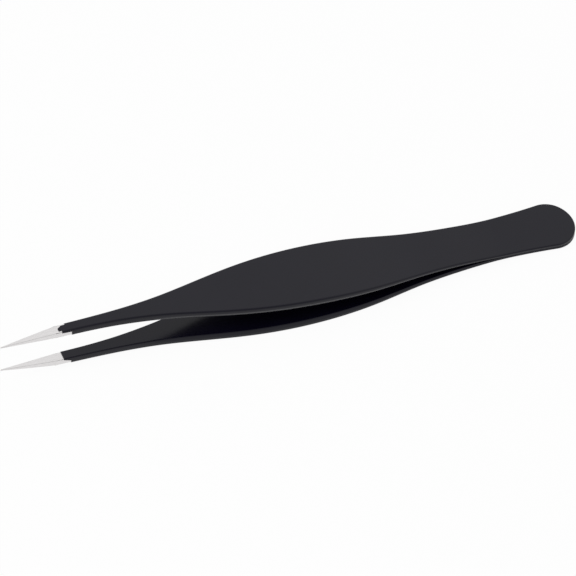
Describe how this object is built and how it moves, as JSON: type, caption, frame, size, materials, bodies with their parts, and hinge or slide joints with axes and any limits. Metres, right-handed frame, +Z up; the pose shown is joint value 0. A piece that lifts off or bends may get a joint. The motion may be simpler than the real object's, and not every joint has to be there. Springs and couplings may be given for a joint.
{
  "type": "fine-point tweezers",
  "caption": "Fine-point tweezers with bowed, wide leaf-shaped arms joined at a round tail, in a black coat with bare ground steel tips.",
  "frame": {"origin": "middle of the box round the part, on the face that it rests on", "axes": "+X from the points towards the tail, +Y across the arms, +Z up, the way that the arms open"},
  "size_m": [0.115, 0.0146, 0.0099],
  "materials": {
    "steel": "ground",
    "coat": "matte black coat"
  },
  "bodies": {
    "root": {"upper_arm": "steel", "lower_arm": "steel", "coating": "coat"}
  },
  "joints": []
}
